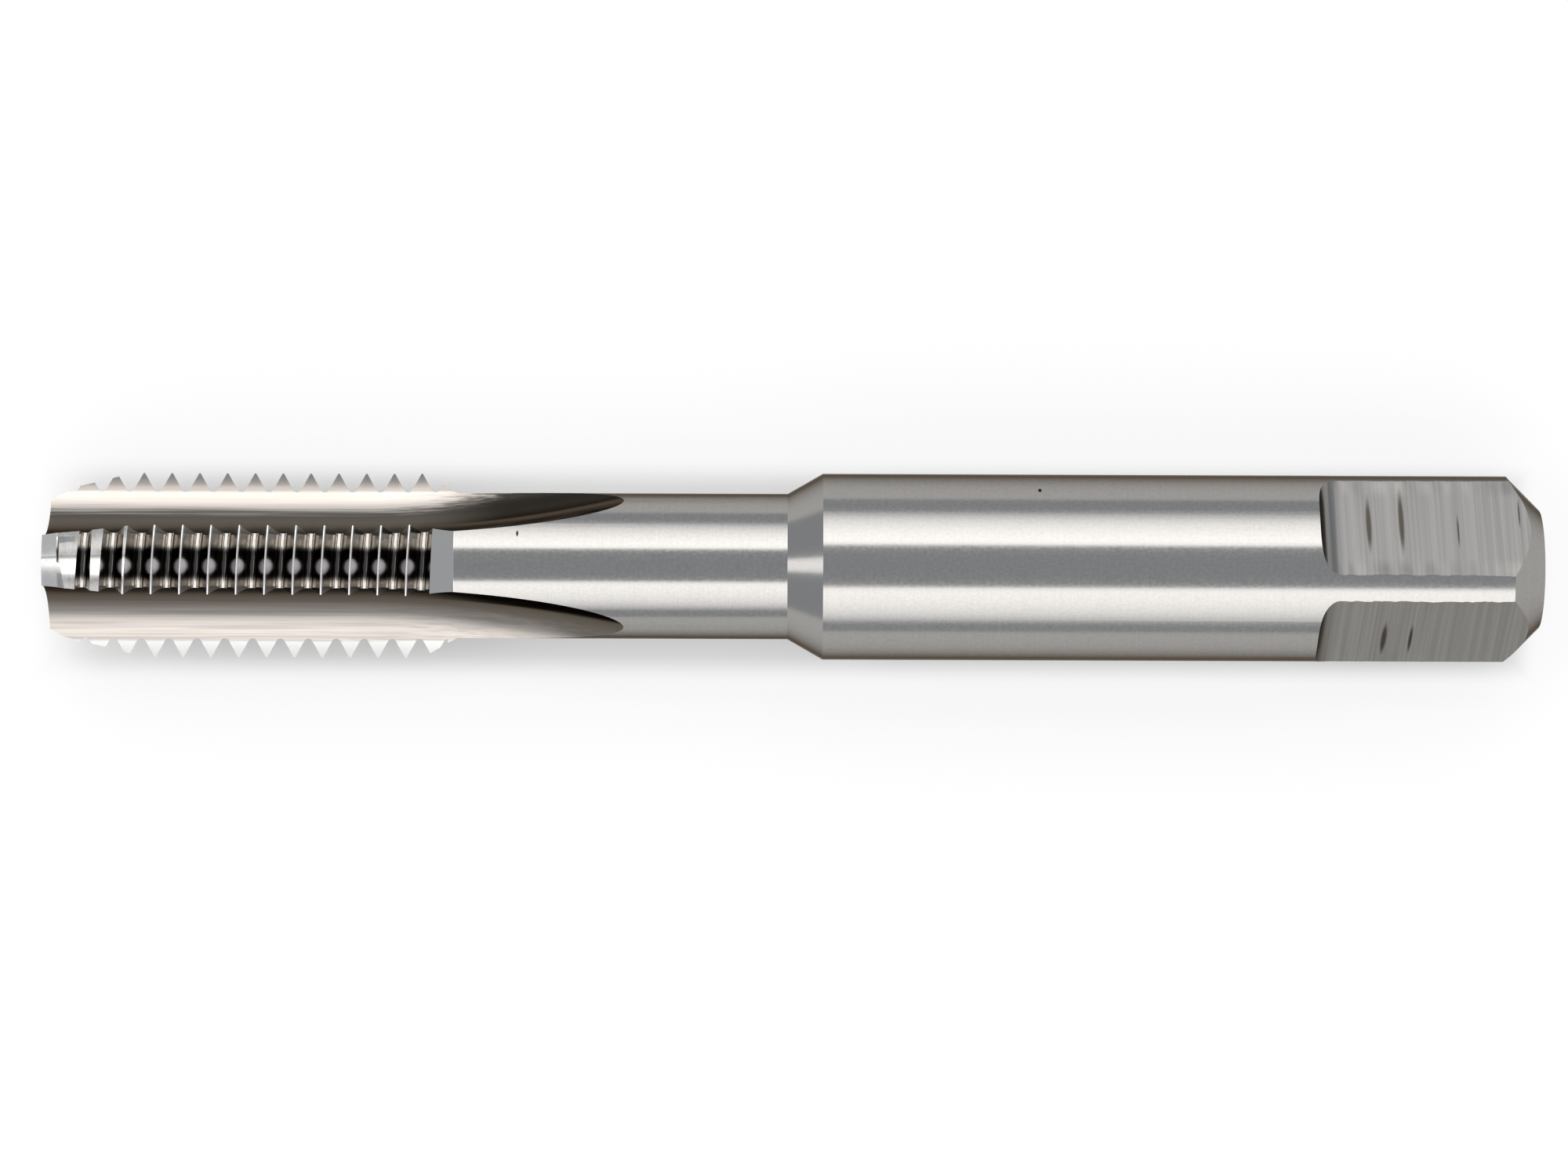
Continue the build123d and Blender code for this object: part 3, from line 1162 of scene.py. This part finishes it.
def lay_floor(scene, setup):
    """Pale floor at the height of the tap's lowest line."""
    mesh = bpy.data.meshes.new("floor")
    reach = setup.floor_width / 2
    corners = [(-reach, -reach), (reach, -reach), (reach, reach), (-reach, reach)]
    mesh.from_pydata([(x, y, 0) for x, y in corners], [], [(0, 1, 2, 3)])
    mesh.materials.append(floor_material(setup.floor_color, setup.floor_glow))
    floor = bpy.data.objects.new("floor", mesh)
    floor.location = (setup.aim[0], 0, tap_low.z)
    scene.collection.objects.link(floor)


def hang_lamps(scene, setup):
    """Two long lamps beside the tap, and a narrow one towards its cutting end."""
    height = setup.lamp_height
    middle = setup.aim[0]
    lamps = []
    for side, gap, reach in (
        (1, setup.back_gap, setup.back_reach),
        (-1, setup.front_gap, setup.front_reach),
    ):
        inner = height * math.tan(gap)
        outer = height * math.tan(reach)
        lamps.append((middle, side * (inner + outer) / 2, setup.lamp_length, outer - inner, reach))
    near = height * math.tan(setup.end_gap)
    far = height * math.tan(setup.end_reach)
    width = 2 * height * math.tan(setup.end_width)
    lamps.append((middle - (near + far) / 2, 0, far - near, width, setup.end_fade))
    for x, y, length, width, fade in lamps:
        light = bpy.data.lights.new("lamp", "AREA")
        light.shape = "RECTANGLE"
        light.size = length
        light.size_y = width
        light.spread = 2 * fade
        light.energy = setup.lamp_power * length * width
        light.color = setup.lamp_color
        lamp = bpy.data.objects.new("lamp", light)
        lamp.location = (x, y, height + tap_low.z)
        scene.collection.objects.link(lamp)


def light_surround(scene, setup):
    """Grey studio round the lamps."""
    world = bpy.data.worlds.new("studio")
    world.use_nodes = True
    world.node_tree.nodes["Background"].inputs["Color"].default_value = (*setup.surround_color, 1)
    scene.world = world


def place_camera(scene, setup):
    """Camera nearly overhead, with its lean and its roll."""
    data = bpy.data.cameras.new("camera")
    data.lens = setup.lens
    data.sensor_width = 36
    data.clip_start = 0.01
    camera = bpy.data.objects.new("camera", data)
    back = Vector((0, -math.sin(setup.camera_lean), math.cos(setup.camera_lean)))
    right = Vector((1, 0, 0))
    up = back.cross(right)
    rolled = right * math.cos(setup.camera_roll) + up * math.sin(setup.camera_roll)
    axes = Matrix((rolled, back.cross(rolled), back)).transposed()
    stand = Vector(setup.aim) + back * setup.camera_distance
    camera.matrix_world = Matrix.Translation(stand) @ axes.to_4x4()
    scene.collection.objects.link(camera)
    scene.camera = camera


class TAP_OT_stage(bpy.types.Operator):
    """Lay the floor and set the lamps and the camera"""

    bl_idname = "tap.stage"
    bl_label = "Set Stage"

    def execute(self, context):
        scene = context.scene
        setup = scene.tap_stage
        lay_floor(scene, setup)
        hang_lamps(scene, setup)
        light_surround(scene, setup)
        place_camera(scene, setup)
        scene.view_settings.view_transform = "Standard"
        return {"FINISHED"}


class TAP_PT_panel(bpy.types.Panel):
    """Steps and sizes of the tap"""

    bl_idname = "TAP_PT_panel"
    bl_label = "Thread Tap"
    bl_space_type = "VIEW_3D"
    bl_region_type = "UI"
    bl_category = "Thread Tap"

    def draw(self, context):
        layout = self.layout
        layout.use_property_split = True
        layout.operator(TAP_OT_grind.bl_idname)
        for title, group in (
            ("Blank", "tap_blank"),
            ("Thread", "tap_thread"),
            ("Flutes", "tap_flutes"),
            ("Square", "tap_square"),
            ("Steel", "tap_finish"),
        ):
            self.list_sizes(title, getattr(context.scene, group))
        layout.operator(TAP_OT_stage.bl_idname)
        self.list_sizes("Stage", context.scene.tap_stage)

    def list_sizes(self, title, group):
        box = self.layout.box()
        box.label(text=title)
        for name in group.__annotations__:
            box.prop(group, name)


GROUPS = {
    "tap_blank": BlankSizes,
    "tap_thread": ThreadSizes,
    "tap_flutes": FluteSizes,
    "tap_square": SquareSizes,
    "tap_finish": SteelFinish,
    "tap_stage": StageSetup,
}
CLASSES = (*GROUPS.values(), TAP_OT_grind, TAP_OT_stage, TAP_PT_panel)


def register():
    for cls in CLASSES:
        bpy.utils.register_class(cls)
    for name, group in GROUPS.items():
        setattr(bpy.types.Scene, name, PointerProperty(type=group))


def unregister():
    for name in GROUPS:
        delattr(bpy.types.Scene, name)
    for cls in reversed(CLASSES):
        bpy.utils.unregister_class(cls)


def main():
    register()
    bpy.ops.tap.grind()
    bpy.ops.tap.stage()


if __name__ == "__main__":
    main()
